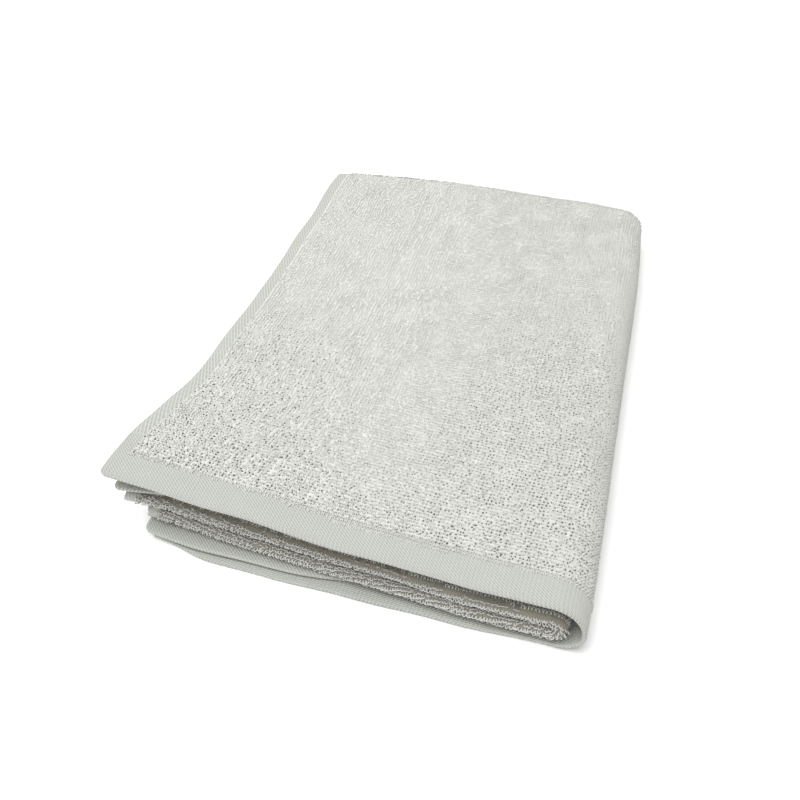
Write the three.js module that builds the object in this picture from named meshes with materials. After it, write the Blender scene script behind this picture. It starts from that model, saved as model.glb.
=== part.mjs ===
// A face towel of terry cloth, lying folded on a flat surface.
//
// The cloth is one piece with a flat woven hem at each end and a narrow one along each side. It is folded
// in half along its length, then in half again, which brings both end hems and the middle of the cloth to
// the front, and last in half across its width, round the right-hand side. So a cut along the depth shows
// four layers in each half of the stack, and a cut along the width shows four nested letters C.
//
// Millimetres. +X runs to the folded right-hand side, +Y to the back and +Z up. The tables below count X
// from the side hems and Y from the lowest end hem. The finished mesh stands centred on the origin.

import * as THREE from "three";

// Driving sizes of the cloth and of the folded stack.
const CLOTH_THICKNESS = 2.2; // terry cloth, pile included
const HEM_THICKNESS = 1.6; // the end hems, turned under and pressed flat
const HEM_DEPTH = 10; // from the end of the cloth to the pile
const FOLDED_WIDTH = 163.5; // half of a cloth 340 wide, less what the inner layers take up in the fold
const FOLDED_DEPTH = 230; // a quarter of a cloth 900 long, and the bend at the back
const HALF_SLOT = 0.4; // half of the slot between the two halves of the stack
const OUTER_BEND = 4.4; // how far the outer bend at the back reaches past the end of its straight runs

// The stack at each depth: the heights of its top and of the slot between its halves at four places
// across it, and how far its right-hand fold is drawn in. The front left corner stands up.
const ACROSS = [-5, 50, 100, 152];
const STACK = [
  { depth: 0, top: [36, 30, 25.4, 24.4], slot: [15, 11.4, 9.7, 9.4], drawnIn: 0.6 },
  { depth: 20, top: [36.4, 30, 25.4, 24.4], slot: [15.4, 12.6, 10.9, 10.7], drawnIn: 0 },
  { depth: 40, top: [32.4, 28.8, 25.4, 24.2], slot: [14.6, 13, 12, 11.7], drawnIn: 0 },
  { depth: 65, top: [29.2, 27.8, 25.4, 24.2], slot: [13.6, 13, 12.2, 11.8], drawnIn: 0 },
  { depth: 95, top: [27, 26.8, 25.4, 24], slot: [13, 12.8, 12.2, 11.7], drawnIn: 0 },
  { depth: 130, top: [25.6, 26.4, 25.4, 24], slot: [12.3, 12.6, 12.2, 11.7], drawnIn: 0 },
  { depth: 180, top: [25.2, 26.8, 25.8, 24.2], slot: [12.1, 12.8, 12.4, 11.8], drawnIn: 0 },
  { depth: 230, top: [25.2, 27.8, 26.4, 23.4], slot: [12.1, 13.2, 12.6, 11.4], drawnIn: 1.8 },
];

// Each layer from the outside in. The inset is how much less far it goes into the right-hand fold than the
// outermost one, and the bend is half the width of its C there. In each half of the stack the edge is where
// its side hem lies and the way is how far it is from the outside (0) to the slot (1), both at the front
// and further back.
const LAYERS = [
  {
    inset: 0,
    bend: 11.4,
    top: { frontEdge: -4.6, backEdge: 1.5, frontWay: 0, backWay: 0 },
    low: { frontEdge: 3.6, backEdge: 2.5, frontWay: 0, backWay: 0 },
  },
  {
    inset: 2.8,
    bend: 8.4,
    top: { frontEdge: -4.2, backEdge: 3.0, frontWay: 0.5, backWay: 0.34 },
    low: { frontEdge: 2.0, backEdge: 4.0, frontWay: 0.29, backWay: 0.33 },
  },
  {
    inset: 5.6,
    bend: 5.2,
    top: { frontEdge: -2.6, backEdge: 2.5, frontWay: 0.78, backWay: 0.67 },
    low: { frontEdge: 3.4, backEdge: 3.5, frontWay: 0.62, backWay: 0.66 },
  },
  {
    inset: 8.9,
    bend: 1.6,
    top: { frontEdge: -3.8, backEdge: 2.0, frontWay: 1, backWay: 1 },
    low: { frontEdge: 4.2, backEdge: 3.0, frontWay: 1, backWay: 1 },
  },
];
const FRONT_ZONE = { from: 15, to: 70 }; // depths between which the layers go over from front to back

// The front of the stack, by the distance from the side hems: how far back the outer and the inner end
// hem and the folded terry edge lie, in the top half and in the low one.
const FRONT = {
  top: [
    { x: 0, outerHem: 6.5, innerHem: 5.5, fold: 6.6 },
    { x: 12, outerHem: 6.3, innerHem: 7.5, fold: 7.6 },
    { x: 25, outerHem: 6.0, innerHem: 10.5, fold: 7.4 },
    { x: 50, outerHem: 5.0, innerHem: 14.0, fold: 6.3 },
    { x: 75, outerHem: 4.2, innerHem: 15.0, fold: 5.1 },
    { x: 100, outerHem: 3.5, innerHem: 16.0, fold: 4.4 },
    { x: 125, outerHem: 3.5, innerHem: 16.0, fold: 2.2 },
    { x: 151, outerHem: 3.5, innerHem: 15.0, fold: 1.7 },
  ],
  low: [
    { x: 0, outerHem: 4.8, innerHem: 4.4, fold: 7.0 },
    { x: 12, outerHem: 3.2, innerHem: 3.1, fold: 7.2 },
    { x: 25, outerHem: 0.6, innerHem: 2.3, fold: 6.2 },
    { x: 50, outerHem: 0, innerHem: 2.3, fold: 4.7 },
    { x: 75, outerHem: 0, innerHem: 4.0, fold: 3.7 },
    { x: 100, outerHem: 0, innerHem: 8.0, fold: 2.6 },
    { x: 125, outerHem: 0.2, innerHem: 12.0, fold: 1.1 },
    { x: 151, outerHem: 1.0, innerHem: 14.0, fold: 0.6 },
  ],
};

// How finely the cloth is divided.
const COLUMNS = { flat: 9, bend: 12 };
const ROWS = { run: 7, wideBend: 10, narrowBend: 6 };

const SHADE = { color: 0xd8dad3, roughness: 0.95, metalness: 0 };

const { lerp, smoothstep } = THREE.MathUtils;

// A smooth curve through the points (at[i], values[i]), with at rising; level past its ends.
function through(at, values, x) {
  const last = at.length - 1;
  if (x <= at[0]) return values[0];
  if (x >= at[last]) return values[last];
  const slope = (i) => {
    const a = Math.max(i - 1, 0);
    const b = Math.min(i + 1, last);
    return (values[b] - values[a]) / (at[b] - at[a]);
  };
  const i = at.findIndex((knot) => knot > x) - 1;
  const step = at[i + 1] - at[i];
  const t = (x - at[i]) / step;
  return (
    values[i] * (1 + 2 * t) * (1 - t) ** 2 +
    slope(i) * step * t * (1 - t) ** 2 +
    values[i + 1] * t * t * (3 - 2 * t) +
    slope(i + 1) * step * t * t * (t - 1)
  );
}

// A column of a table at a value between the table's rows.
function lookUp(table, key, x, read) {
  return through(table.map((row) => row[key]), table.map(read), x);
}

// The height of the stack's top, or of the slot, at a place.
function stackHeight(what, x, y) {
  const heights = ACROSS.map((_, i) => lookUp(STACK, "depth", y, (row) => row[what][i]));
  return through(ACROSS, heights, x);
}

// A value of the layers' table; inside counts layers from 0, the outermost, and may fall between two.
function byLayer(inside, read) {
  return through(LAYERS.map((_, i) => i), LAYERS.map(read), inside);
}

function towardsBack(y) {
  return smoothstep(y, FRONT_ZONE.from, FRONT_ZONE.to);
}

// The height of the middle of the cloth in one half of the stack.
function layerHeight(half, x, y, inside) {
  const back = towardsBack(y);
  const way = byLayer(inside, (layer) => lerp(layer[half].frontWay, layer[half].backWay, back));
  const slot = stackHeight("slot", x, y);
  const clear = HALF_SLOT + CLOTH_THICKNESS / 2;
  if (half === "low") return lerp(CLOTH_THICKNESS / 2, slot - clear, way);
  return lerp(stackHeight("top", x, y) - CLOTH_THICKNESS / 2, slot + clear, way);
}

// The columns of the mesh, from the top left corner round the right-hand fold to the bottom left corner.
function columns() {
  const list = [];
  for (let i = 0; i < COLUMNS.flat; i++) list.push({ part: "top", share: i / COLUMNS.flat });
  for (let i = 0; i <= COLUMNS.bend; i++) list.push({ part: "bend", share: i / COLUMNS.bend });
  for (let i = 1; i <= COLUMNS.flat; i++) list.push({ part: "low", share: 1 - i / COLUMNS.flat });
  return list;
}

// The point of the middle of the cloth in a column, at a depth y and at a place inside the stack.
function place(column, y, inside) {
  const bend = byLayer(inside, (layer) => layer.bend);
  const inset = byLayer(inside, (layer) => layer.inset) + lookUp(STACK, "depth", y, (row) => row.drawnIn);
  const hinge = FOLDED_WIDTH - CLOTH_THICKNESS / 2 - inset - bend;
  if (column.part !== "bend") {
    const half = column.part;
    const back = towardsBack(y);
    const edge = byLayer(inside, (layer) => lerp(layer[half].frontEdge, layer[half].backEdge, back));
    const x = lerp(edge, hinge, column.share);
    return new THREE.Vector3(x, y, layerHeight(half, x, y, inside));
  }
  const angle = Math.PI * (0.5 - column.share);
  const slot = stackHeight("slot", hinge, y);
  const rim = layerHeight(angle > 0 ? "top" : "low", hinge, y, inside);
  const z = slot + Math.abs(Math.sin(angle)) * (rim - slot);
  return new THREE.Vector3(hinge + bend * Math.cos(angle), y, z);
}

// How far back an edge at the front lies in a column.
function front(column, edge) {
  const end = FRONT.top[FRONT.top.length - 1].x;
  const inHalf = (half, x) => lookUp(FRONT[half], "x", x, (row) => row[edge]);
  if (column.part !== "bend") return inHalf(column.part, column.share * end);
  return lerp(inHalf("top", end), inHalf("low", end), smoothstep(column.share, 0, 1));
}

// Half the distance between a layer and the next one: the radius of the bend that joins them.
function bendRadius(column, y, layer) {
  return place(column, y, layer).distanceTo(place(column, y, layer + 1)) / 2;
}

// The rows of the mesh, from one end hem to the other. Each gives, in a column, the depth y and the place
// inside the stack.
function rows() {
  const list = [];
  const half = CLOTH_THICKNESS / 2;
  const backEnd = FOLDED_DEPTH - OUTER_BEND - half;
  const foldRadius = (column) => bendRadius(column, front(column, "fold"), 2);
  const foldedEdge = (column) => front(column, "fold") + foldRadius(column) + half;
  const outer = { inside: 0, hem: true, start: (column) => front(column, "outerHem") };
  const inner = { inside: 1, hem: true, start: (column) => front(column, "innerHem") };
  const third = { inside: 2, hem: false, start: foldedEdge };
  const fourth = { inside: 3, hem: false, start: foldedEdge };
  const addRun = (run, toTheBack) => {
    const stops = [];
    for (let i = 0; i <= ROWS.run; i++) {
      const share = i / ROWS.run;
      const flat = run.hem && i === 0;
      stops.push({ flat, depth: (column) => lerp(run.start(column), backEnd, share) });
    }
    if (run.hem) {
      const pile = { flat: false, depth: (column) => run.start(column) + HEM_DEPTH + 1.5 };
      stops.splice(1, 0, { flat: true, depth: (column) => run.start(column) + HEM_DEPTH }, pile);
    }
    if (!toTheBack) stops.reverse();
    for (const { flat, depth } of stops) {
      const at = (column) => ({ y: depth(column), inside: run.inside });
      list.push({ thickness: flat ? HEM_THICKNESS : CLOTH_THICKNESS, at });
    }
  };
  const addBend = (from, to, start, reach, steps) => {
    for (let i = 1; i < steps; i++) {
      const angle = (Math.PI * i) / steps;
      const inside = lerp(from.inside, to.inside, (1 - Math.cos(angle)) / 2);
      const at = (column) => ({ y: start(column) + reach(column) * Math.sin(angle), inside });
      list.push({ thickness: CLOTH_THICKNESS, at });
    }
  };
  addRun(outer, true);
  addBend(outer, fourth, () => backEnd, () => OUTER_BEND, ROWS.wideBend);
  addRun(fourth, false);
  addBend(fourth, third, foldedEdge, (column) => -foldRadius(column), ROWS.narrowBend);
  addRun(third, true);
  addBend(third, inner, () => backEnd, (column) => bendRadius(column, backEnd, 1), ROWS.narrowBend);
  addRun(inner, false);
  return list;
}

// The cloth as a closed mesh: its middle surface, moved half a thickness to each side, and the rim.
function clothGeometry() {
  const across = columns();
  const along = rows();
  const middle = along.map((row) =>
    across.map((column) => {
      const { y, inside } = row.at(column);
      return place(column, y, inside);
    }),
  );
  const position = [];
  const lastRow = along.length - 1;
  const lastColumn = across.length - 1;
  const side = new THREE.Vector3();
  const length = new THREE.Vector3();
  const point = new THREE.Vector3();
  for (const sign of [1, -1]) {
    for (let r = 0; r <= lastRow; r++) {
      for (let c = 0; c <= lastColumn; c++) {
        side.subVectors(middle[r][Math.min(c + 1, lastColumn)], middle[r][Math.max(c - 1, 0)]);
        length.subVectors(middle[Math.min(r + 1, lastRow)][c], middle[Math.max(r - 1, 0)][c]);
        point.crossVectors(side, length).setLength((sign * along[r].thickness) / 2);
        point.add(middle[r][c]);
        position.push(point.x, point.y, point.z);
      }
    }
  }
  const index = [];
  const at = (face, r, c) => (face * (lastRow + 1) + r) * (lastColumn + 1) + c;
  const quad = (a, b, c, d) => index.push(a, b, c, a, c, d);
  for (let r = 0; r < lastRow; r++) {
    for (let c = 0; c < lastColumn; c++) {
      quad(at(0, r, c), at(0, r, c + 1), at(0, r + 1, c + 1), at(0, r + 1, c));
      quad(at(1, r, c), at(1, r + 1, c), at(1, r + 1, c + 1), at(1, r, c + 1));
    }
    quad(at(0, r, 0), at(0, r + 1, 0), at(1, r + 1, 0), at(1, r, 0));
    quad(at(0, r + 1, lastColumn), at(0, r, lastColumn), at(1, r, lastColumn), at(1, r + 1, lastColumn));
  }
  for (let c = 0; c < lastColumn; c++) {
    quad(at(0, 0, c + 1), at(0, 0, c), at(1, 0, c), at(1, 0, c + 1));
    quad(at(0, lastRow, c), at(0, lastRow, c + 1), at(1, lastRow, c + 1), at(1, lastRow, c));
  }
  const geometry = new THREE.BufferGeometry();
  geometry.setAttribute("position", new THREE.Float32BufferAttribute(position, 3));
  geometry.setIndex(index);
  geometry.computeBoundingBox();
  const centre = geometry.boundingBox.getCenter(new THREE.Vector3());
  geometry.translate(-centre.x, -centre.y, -geometry.boundingBox.min.z);
  geometry.computeVertexNormals();
  return geometry;
}

const towel = new THREE.Group();
const cloth = new THREE.Mesh(clothGeometry(), new THREE.MeshStandardMaterial(SHADE));
cloth.name = "towel_cloth";
towel.add(cloth);

export default towel;
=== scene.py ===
"""The looks of a folded face towel of terry cloth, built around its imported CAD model.

The cloth is a ground of plain weave with turned twill hems, and a pile of cotton loops on both of its faces.
Its fold is worked out here in the same way and from the same tables as in the CAD model, only finer. The grid
has a row for each station along the cloth, from one end hem to the other, and a column for each place across
it, from the top of the stack round the right-hand fold to its underside. Lengths are in millimetres until a
mesh is made. X counts from the side hems and Y from the lowest end hem.
"""

import math

import bpy
import numpy as np
from mathutils import Matrix, Vector


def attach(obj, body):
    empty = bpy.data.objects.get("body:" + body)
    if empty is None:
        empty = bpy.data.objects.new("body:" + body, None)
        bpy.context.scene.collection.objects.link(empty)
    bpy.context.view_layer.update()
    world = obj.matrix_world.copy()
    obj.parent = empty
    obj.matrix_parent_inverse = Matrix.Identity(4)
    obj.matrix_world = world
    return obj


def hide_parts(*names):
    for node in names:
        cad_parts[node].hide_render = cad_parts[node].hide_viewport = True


bl_info = {
    "name": "Folded face towel",
    "version": (1, 0, 0),
    "blender": (4, 5, 0),
    "location": "3D View > Sidebar > Towel",
    "description": "Builds a folded face towel of terry cloth, with its pile, its hems and a plain studio",
    "category": "Add Mesh",
}

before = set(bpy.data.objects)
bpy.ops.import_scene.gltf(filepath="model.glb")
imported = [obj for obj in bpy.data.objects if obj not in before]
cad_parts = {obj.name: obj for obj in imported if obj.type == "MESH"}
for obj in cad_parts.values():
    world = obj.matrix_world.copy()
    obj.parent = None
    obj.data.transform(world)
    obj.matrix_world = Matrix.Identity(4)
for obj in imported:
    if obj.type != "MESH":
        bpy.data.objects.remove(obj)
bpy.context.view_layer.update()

MM = 0.001
ORIGIN = np.array([79.338, 114.99, 0.0])  # the middle of the towel, counted as the tables count

# The fold

FLAT_WIDTH = 340.0
FLAT_LENGTH = 900.0
CLOTH_THICKNESS = 2.2  # as the CAD model has it, pile included
FOLDED_WIDTH = 163.5
FOLDED_DEPTH = 230.0
HALF_SLOT = 0.4
OUTER_BEND = 4.4

# The stack's top, the slot between its halves and how far its right-hand fold is drawn in, at these depths
# and places across it.
ACROSS = [-5, 50, 100, 152]
DEPTHS = [0, 20, 40, 65, 95, 130, 180, 230]
STACK = {
    "top": [
        [36, 30, 25.4, 24.4],
        [36.4, 30, 25.4, 24.4],
        [32.4, 28.8, 25.4, 24.2],
        [29.2, 27.8, 25.4, 24.2],
        [27, 26.8, 25.4, 24],
        [25.6, 26.4, 25.4, 24],
        [25.2, 26.8, 25.8, 24.2],
        [25.2, 27.8, 26.4, 23.4],
    ],
    "slot": [
        [15, 11.4, 9.7, 9.4],
        [15.4, 12.6, 10.9, 10.7],
        [14.6, 13, 12, 11.7],
        [13.6, 13, 12.2, 11.8],
        [13, 12.8, 12.2, 11.7],
        [12.3, 12.6, 12.2, 11.7],
        [12.1, 12.8, 12.4, 11.8],
        [12.1, 13.2, 12.6, 11.4],
    ],
}
DRAWN_IN = [0.6, 0, 0, 0, 0, 0, 0, 1.8]

# The four layers of each half, from the outside in: how much less far each goes into the right-hand fold,
# half the width of its C there, where its side hem lies and how far it is from the outside (0) to the slot
# (1), at the front and further back.
LAYERS = [0, 1, 2, 3]
INSET = [0, 2.8, 5.6, 8.9]
BEND = [11.4, 8.4, 5.2, 1.6]
EDGE = {
    "top": {"front": [-4.6, -4.2, -2.6, -3.8], "back": [1.5, 3.0, 2.5, 2.0]},
    "low": {"front": [3.6, 2.0, 3.4, 4.2], "back": [2.5, 4.0, 3.5, 3.0]},
}
WAY = {
    "top": {"front": [0, 0.5, 0.78, 1], "back": [0, 0.34, 0.67, 1]},
    "low": {"front": [0, 0.29, 0.62, 1], "back": [0, 0.33, 0.66, 1]},
}
FRONT_ZONE = (15, 70)

# How far back the front edges lie, at these places across.
FRONT_PLACES = [0, 12, 25, 50, 75, 100, 125, 151]
FRONT = {
    "top": {
        "outer hem": [6.5, 6.3, 6.0, 5.0, 4.2, 3.5, 3.5, 3.5],
        "inner hem": [5.5, 7.5, 10.5, 14, 15, 16, 16, 15],
        "fold": [6.6, 7.6, 7.4, 6.3, 5.1, 4.4, 2.2, 1.7],
    },
    "low": {
        "outer hem": [4.8, 3.2, 0.6, 0, 0, 0, 0.2, 1.0],
        "inner hem": [4.4, 3.1, 2.3, 2.3, 4.0, 8.0, 12, 14],
        "fold": [7.0, 7.2, 6.2, 4.7, 3.7, 2.6, 1.1, 0.6],
    },
}

# The make of the cloth.
GROUND_HALF = 0.5  # half the thickness of the woven ground, with the fibres that fill it between the loops
INNER_HALF = 0.35  # on the inner layers, where the pile stands open
MATTED = 0.25  # how much further they fill it where it is pressed smoothest
ROOT_DEPTH = 0.2  # how deep the loops stand in it
HOLE_AWAY = 0.72  # from a loop's root to where one looks down through it onto the ground
STRAY = (0.12, 0.17)  # how far their roots stray from their rows, on the right and on the left
END_HEM_HALF = 0.8
END_HEM_WIDTH = 10.5
END_TWILL_WIDTH = 12.5  # the twill goes on a little way under the first loops
SIDE_HEM_HALF = 0.7
SIDE_HEM_WIDTH = 4.6
SIDE_TWILL_WIDTH = 5.5
SIDE_PILE_START = 4.9  # from the edge of the side hem to the first loops
HEM_ROUNDING = 0.9  # from a hem's edge to where it has its whole thickness
CORNER_HALF = 1.15  # where both hems are turned over each other
CORNER_RADIUS = 2.6
# The uppermost hem is thinner than the CAD model's cloth, so at these places across it lies further forward.
HEM_PLACES = [0, 12, 40, 60, 110, 130, 155]
HEM_FORWARD = [2.0, 1.7, 1.5, 1.1, 1.1, 1.7, 2.3]
SIDE_DEPTHS = [0, 12, 45, 68, 82, 120, 230]  # and the side hem this much further out, at these depths
SIDE_OUT = [1.3, 1.0, 1.3, 1.4, 1.2, 0.7, 0.4]
FLOOR_GAP = 0.01  # the lowest the cloth and its loops reach, just clear of the floor
WARP_PITCH = 1.36  # from one pair of warp yarns to the next, as the hem's ribs show it
OUTER_WEAVE, END_HEM, SIDE_HEM, INNER_WEAVE_PAINTED_SHADE = range(4)  # the ground's materials, in their order

# How finely the grid follows the cloth: its stations beside a side hem, an end hem and a fold, and its steps
# between them, as rows along the cloth and columns across it.
NEAR_SIDE_HEM = [0, 0.3, 0.8, 1.6, 3, 4.4, 5.4, 9]
NEAR_END_HEM = [0, 0.3, 0.8, 1.6, 3, 5, 7, 8.6, 10, 12]
NEAR_FOLD = [0, 2]
COLUMNS_OF_HALF = 27
COLUMNS_OF_BEND = 23
ROWS_OF_RUN = 37
FAR_FROM_HEM = 100.0  # the distance from an end hem that is given to the rows far from one
LOOPED_ROWS = (8, 12)  # the rows, from a hem, that carry loops on an inner face: 10 to 24 mm behind its edge

# Each loop is a tube along an open ring, which goes from foot to foot by these degrees.
LOOP_START, LOOP_END = -70, 250
TUBE_SIDES = 3
LOOP_YARN = 4.6  # the length of yarn in a loop
YARN_SIDE = 0.6  # how far round the yarn one side of its tube goes
PLY_LENGTH = 0.35  # from one ply of the yarn to the next, along it
PRESSED_YARN = 1.15  # how much broader the yarn is where the pile is pressed smooth
OPEN_RING = {"width": 1.2, "height": 1.5, "yarn": 0.88}  # the open loops at the front, beside the others

# The search for a loop's root on the folded grid: its steps, and the most rows or columns that one may go.
SEARCH_STEPS = 14
STRIDE = 1.5
PAST_EDGE = 0.01

# Where the pile starts on the uppermost hem, as seen in the photograph: places across, and the distance from
# the hem's edge there.
PILE_START_PLACES = [0, 15, 25, 39, 52, 64, 75, 89, 99, 109, 129, 143, 155, 170, 340]
PILE_START = [9.8, 9.6, 9.7, 10.3, 10.0, 9.6, 9.0, 8.0, 8.6, 8.0, 9.3, 9.3, 9.8, 9.6, 8.8]


def smoothstep(x, low, high):
    t = np.clip((np.asarray(x, float) - low) / (high - low), 0, 1)
    return t * t * (3 - 2 * t)


def lerp(a, b, t):
    return a + (b - a) * t


def weights(at, x):
    """How much each knot in at counts at x, on a smooth curve that is level past its ends."""
    at = np.asarray(at, float)
    x = np.clip(np.asarray(x, float), at[0], at[-1])
    last = len(at) - 1
    interval = np.clip(np.searchsorted(at, x, side="right") - 1, 0, last - 1)
    found = np.zeros((last + 1,) + x.shape)
    for i in range(last):
        here = interval == i
        step = at[i + 1] - at[i]
        t = (x[here] - at[i]) / step
        found[i][here] += (1 + 2 * t) * (1 - t) ** 2
        found[i + 1][here] += t * t * (3 - 2 * t)
        for knot, share in ((i, t * (1 - t) ** 2), (i + 1, t * t * (t - 1))):
            a, b = max(knot - 1, 0), min(knot + 1, last)
            found[b][here] += share * step / (at[b] - at[a])
            found[a][here] -= share * step / (at[b] - at[a])
    return found


def through(at, values, x):
    return np.tensordot(np.asarray(values, float), weights(at, x), (0, 0))


def stack_height(what, x, y):
    heights = np.array(STACK[what], float)
    return np.einsum("i...,j...,ij->...", weights(DEPTHS, y), weights(ACROSS, x), heights)


def layer_height(half, x, y, inside):
    """The height of the middle of the cloth in one half of the stack."""
    back = smoothstep(y, *FRONT_ZONE)
    way = lerp(through(LAYERS, WAY[half]["front"], inside), through(LAYERS, WAY[half]["back"], inside), back)
    slot = stack_height("slot", x, y)
    clear = HALF_SLOT + CLOTH_THICKNESS / 2
    if half == "low":
        return lerp(CLOTH_THICKNESS / 2, slot - clear, way)
    return lerp(stack_height("top", x, y) - CLOTH_THICKNESS / 2, slot + clear, way)


def place(parts, shares, y, inside):
    """The points of the middle of the cloth, for columns given as a part and a share of it.

    The parts are the stack's top half (0), its right-hand bend (1) and its lower half (2)."""
    parts, shares, y, inside = np.broadcast_arrays(parts, shares, y, inside)
    back = smoothstep(y, *FRONT_ZONE)
    bend = through(LAYERS, BEND, inside)
    inset = through(LAYERS, INSET, inside) + through(DEPTHS, DRAWN_IN, y)
    hinge = FOLDED_WIDTH - CLOTH_THICKNESS / 2 - inset - bend
    points = np.zeros(y.shape + (3,))
    for part, half in ((0, "top"), (2, "low")):
        edge = lerp(
            through(LAYERS, EDGE[half]["front"], inside), through(LAYERS, EDGE[half]["back"], inside), back
        )
        x = lerp(edge, hinge, shares)
        z = layer_height(half, x, y, inside)
        points[parts == part] = np.stack([x, y, z], -1)[parts == part]
    angle = np.pi * (0.5 - shares)
    slot = stack_height("slot", hinge, y)
    rim = np.where(angle > 0, layer_height("top", hinge, y, inside), layer_height("low", hinge, y, inside))
    z = slot + np.abs(np.sin(angle)) * (rim - slot)
    points[parts == 1] = np.stack([hinge + bend * np.cos(angle), y, z], -1)[parts == 1]
    return points


def front(parts, shares, edge):
    """How far back an edge at the front lies in each column."""
    end = FRONT_PLACES[-1]
    top = through(FRONT_PLACES, FRONT["top"][edge], np.where(parts == 0, shares * end, end))
    low = through(FRONT_PLACES, FRONT["low"][edge], np.where(parts == 2, shares * end, end))
    return np.where(parts == 0, top, np.where(parts == 2, low, lerp(top, low, smoothstep(shares, 0, 1))))


def drift(x, y, span, seed):
    """A smooth field that wanders between about -1 and 1 over the given span of millimetres."""
    random = np.random.default_rng(seed)
    total = np.zeros(np.broadcast(x, y).shape)
    waves = 9
    for _ in range(waves):
        heading = random.uniform(0, 2 * np.pi)
        length = span * random.uniform(0.7, 1.6)
        phase = random.uniform(0, 2 * np.pi)
        total += np.sin(2 * np.pi * (x * np.cos(heading) + y * np.sin(heading)) / length + phase)
    return total / math.sqrt(waves / 2) * 0.6


def towards_left(x):
    """From 1 on the left to 0 on the right, where the pile lies differently."""
    return 1 - smoothstep(x, 45, 110)


def relief(points):
    """How deep the pile shows, from 0 to 1: the middle and the back have been pressed smoother."""
    x, y = points[..., 0], points[..., 1]
    middle, reach = 78, 28
    smooth_middle = np.exp(-(((x - middle) / reach) ** 2)) * smoothstep(y, 0, 50)
    # On the right the pile stays deep for 40 mm more.
    further = 40 * smoothstep(x, 95, 125)
    return (1 - 0.9 * smoothstep(y - further, 35, 160)) * (1 - 0.55 * smooth_middle)


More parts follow.
